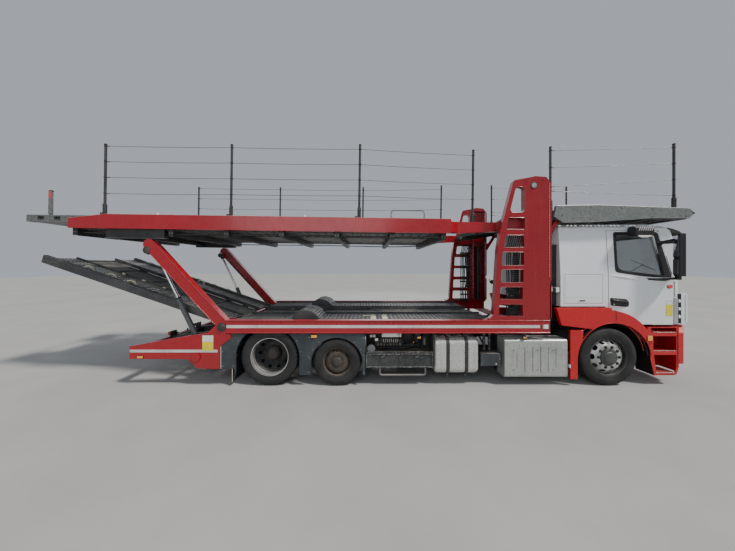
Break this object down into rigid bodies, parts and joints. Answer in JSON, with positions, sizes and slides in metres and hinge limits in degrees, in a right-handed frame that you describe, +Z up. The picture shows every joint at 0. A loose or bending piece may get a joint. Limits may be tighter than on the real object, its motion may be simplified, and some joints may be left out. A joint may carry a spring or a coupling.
{
  "type": "car transporter truck",
  "caption": "Rigid three-axle car transporter truck: sleeper cab, over-cab deck, tilting upper deck on side towers and swinging arms, lower deck with rear platform.",
  "frame": {"origin": "middle of the truck's footprint, on the ground", "axes": "+X forward, +Y to the driver's left, +Z up"},
  "size_m": [10.927, 2.8515, 3.93],
  "materials": {
    "red_paint": "gloss enamel, dusty",
    "white_paint": "gloss enamel",
    "black_paint": "satin",
    "grey_steel": "galvanised, mottled",
    "dark_steel": "matt, dusty",
    "cast": "bare",
    "tyre": "worn",
    "tank_alu": "dull",
    "glass": "tinted",
    "plastic": "moulded",
    "seat": "woven",
    "chrome": "polished rod"
  },
  "bodies": {
    "root": {"chassis_frame": "red_paint", "side_frame": "red_paint", "rear_panels": "red_paint", "tow_coupling": "cast", "mudguards": "black_paint", "springs": "dark_steel", "front_axle_beam": "dark_steel", "pusher_axle": "dark_steel", "drive_axle": "dark_steel", "driveline": "cast", "engine_block": "cast", "control_bay": "dark_steel", "tool_box": "black_paint", "fuel_tank": "tank_alu", "silencer_box": "tank_alu", "filter_box": "plastic", "air_intake": "plastic", "left_side_boxes": "black_paint", "air_tanks": "black_paint", "lower_deck": "dark_steel", "towers": "red_paint", "cab_shell": "white_paint", "windscreen": "glass", "cab_interior": "seat", "fenders": "red_paint", "entry_steps": "red_paint", "front_bumper": "red_paint"},
    "knuckle_right": {"front_knuckle_right": "cast"},
    "front_wheel_right": {"front_wheel_right": "tyre"},
    "pusher_wheel_right": {"pusher_wheel_right": "tyre"},
    "drive_wheel_right": {"drive_wheel_right": "tyre"},
    "door_right": {"door_right": "white_paint", "door_glass_right": "glass", "mirror_right": "plastic"},
    "hatch_right": {"hatch_right": "white_paint"},
    "knuckle_left": {"front_knuckle_left": "cast"},
    "front_wheel_left": {"front_wheel_left": "tyre"},
    "pusher_wheel_left": {"pusher_wheel_left": "tyre"},
    "drive_wheel_left": {"drive_wheel_left": "tyre"},
    "door_left": {"door_left": "white_paint", "door_glass_left": "glass", "mirror_left": "plastic"},
    "hatch_left": {"hatch_left": "white_paint"},
    "front_flap": {"front_flap": "white_paint"},
    "upper_deck": {"upper_deck_beams": "red_paint", "upper_deck_tracks": "dark_steel", "upper_deck_posts": "black_paint"},
    "deck_extension": {"deck_extension": "grey_steel"},
    "over_cab_deck": {"over_cab_deck": "grey_steel", "over_cab_posts": "black_paint"},
    "rear_arms": {"rear_arms": "red_paint"},
    "lift_barrels": {"lift_barrels": "dark_steel"},
    "lift_rods": {"lift_rods": "chrome"},
    "rear_platform": {"rear_platform": "dark_steel"}
  },
  "joints": [
    {"name": "steering_right", "type": "hinge", "parent": "root", "child": "knuckle_right", "pos_m": [4.06147, -0.93, 0.465], "axis": [0, 0, 1], "range_deg": [-35, 35]},
    {"name": "front_spin_right", "type": "hinge", "parent": "knuckle_right", "child": "front_wheel_right", "pos_m": [4.06147, -1.086, 0.465], "axis": [0, 1, 0], "continuous": true},
    {"name": "pusher_spin_right", "type": "hinge", "parent": "root", "child": "pusher_wheel_right", "pos_m": [-0.33153, -1.112, 0.383], "axis": [0, 1, 0], "continuous": true},
    {"name": "drive_spin_right", "type": "hinge", "parent": "root", "child": "drive_wheel_right", "pos_m": [-1.42654, -0.9185, 0.465], "axis": [0, 1, 0], "continuous": true},
    {"name": "door_right_hinge", "type": "hinge", "parent": "root", "child": "door_right", "pos_m": [5.18147, -1.147, 1.5], "axis": [0, 0, 1], "range_deg": [0, 70]},
    {"name": "hatch_right_hinge", "type": "hinge", "parent": "root", "child": "hatch_right", "pos_m": [3.70547, -1.149, 1.7995], "axis": [-1, 0, 0], "range_deg": [0, 80]},
    {"name": "steering_left", "type": "hinge", "parent": "root", "child": "knuckle_left", "pos_m": [4.06147, 0.93, 0.465], "axis": [0, 0, 1], "range_deg": [-35, 35]},
    {"name": "front_spin_left", "type": "hinge", "parent": "knuckle_left", "child": "front_wheel_left", "pos_m": [4.06147, 1.086, 0.465], "axis": [0, 1, 0], "continuous": true},
    {"name": "pusher_spin_left", "type": "hinge", "parent": "root", "child": "pusher_wheel_left", "pos_m": [-0.33153, 1.112, 0.383], "axis": [0, 1, 0], "continuous": true},
    {"name": "drive_spin_left", "type": "hinge", "parent": "root", "child": "drive_wheel_left", "pos_m": [-1.42654, 0.9185, 0.465], "axis": [0, 1, 0], "continuous": true},
    {"name": "door_left_hinge", "type": "hinge", "parent": "root", "child": "door_left", "pos_m": [5.18147, 1.147, 1.5], "axis": [0, 0, -1], "range_deg": [0, 70]},
    {"name": "hatch_left_hinge", "type": "hinge", "parent": "root", "child": "hatch_left", "pos_m": [3.70547, 1.149, 1.7995], "axis": [1, 0, 0], "range_deg": [0, 80]},
    {"name": "front_flap_hinge", "type": "hinge", "parent": "root", "child": "front_flap", "pos_m": [5.45747, 0, 1.6625], "axis": [0, -1, 0], "range_deg": [0, 60]},
    {"name": "upper_deck_tilt", "type": "hinge", "parent": "root", "child": "upper_deck", "pos_m": [2.36146, 0, 2.6], "axis": [0, -1, 0], "range_deg": [0, 6]},
    {"name": "rear_arm_swing", "type": "hinge", "parent": "root", "child": "rear_arms", "pos_m": [-2.17854, 0, 0.962], "axis": [0, -1, 0], "range_deg": [0, 26.41]},
    {"name": "lift_barrel_swing", "type": "hinge", "parent": "root", "child": "lift_barrels", "pos_m": [-2.59354, 0, 0.482], "axis": [0, -1, 0], "range_deg": [0, 24.67]},
    {"name": "lift_rod_slide", "type": "slide", "parent": "lift_barrels", "child": "lift_rods", "axis": [-0.4367, 0, 0.8996], "range_m": [-0.2855, 0]},
    {"name": "rear_platform_swing", "type": "hinge", "parent": "root", "child": "rear_platform", "pos_m": [-2.17854, 0, 0.962], "axis": [0, -1, 0], "range_deg": [0, 26.45]},
    {"name": "deck_extension_slide", "type": "slide", "parent": "upper_deck", "child": "deck_extension", "axis": [0.9999, 0, -0.0145], "range_m": [0, 0.7]},
    {"name": "over_cab_deck_tilt", "type": "hinge", "parent": "root", "child": "over_cab_deck", "pos_m": [2.36146, 0, 2.6], "axis": [0, -1, 0], "range_deg": [0, 12]}
  ],
  "couplings": [
    {"joint": "steering_left", "follows": "steering_right", "ratio": 1},
    {"joint": "rear_arm_swing", "follows": "upper_deck_tilt", "ratio": 4.4},
    {"joint": "lift_barrel_swing", "follows": "upper_deck_tilt", "ratio": 4.1025},
    {"joint": "lift_rod_slide", "follows": "upper_deck_tilt", "m_per_rad": -2.7172},
    {"joint": "rear_platform_swing", "follows": "upper_deck_tilt", "ratio": 4.4}
  ]
}
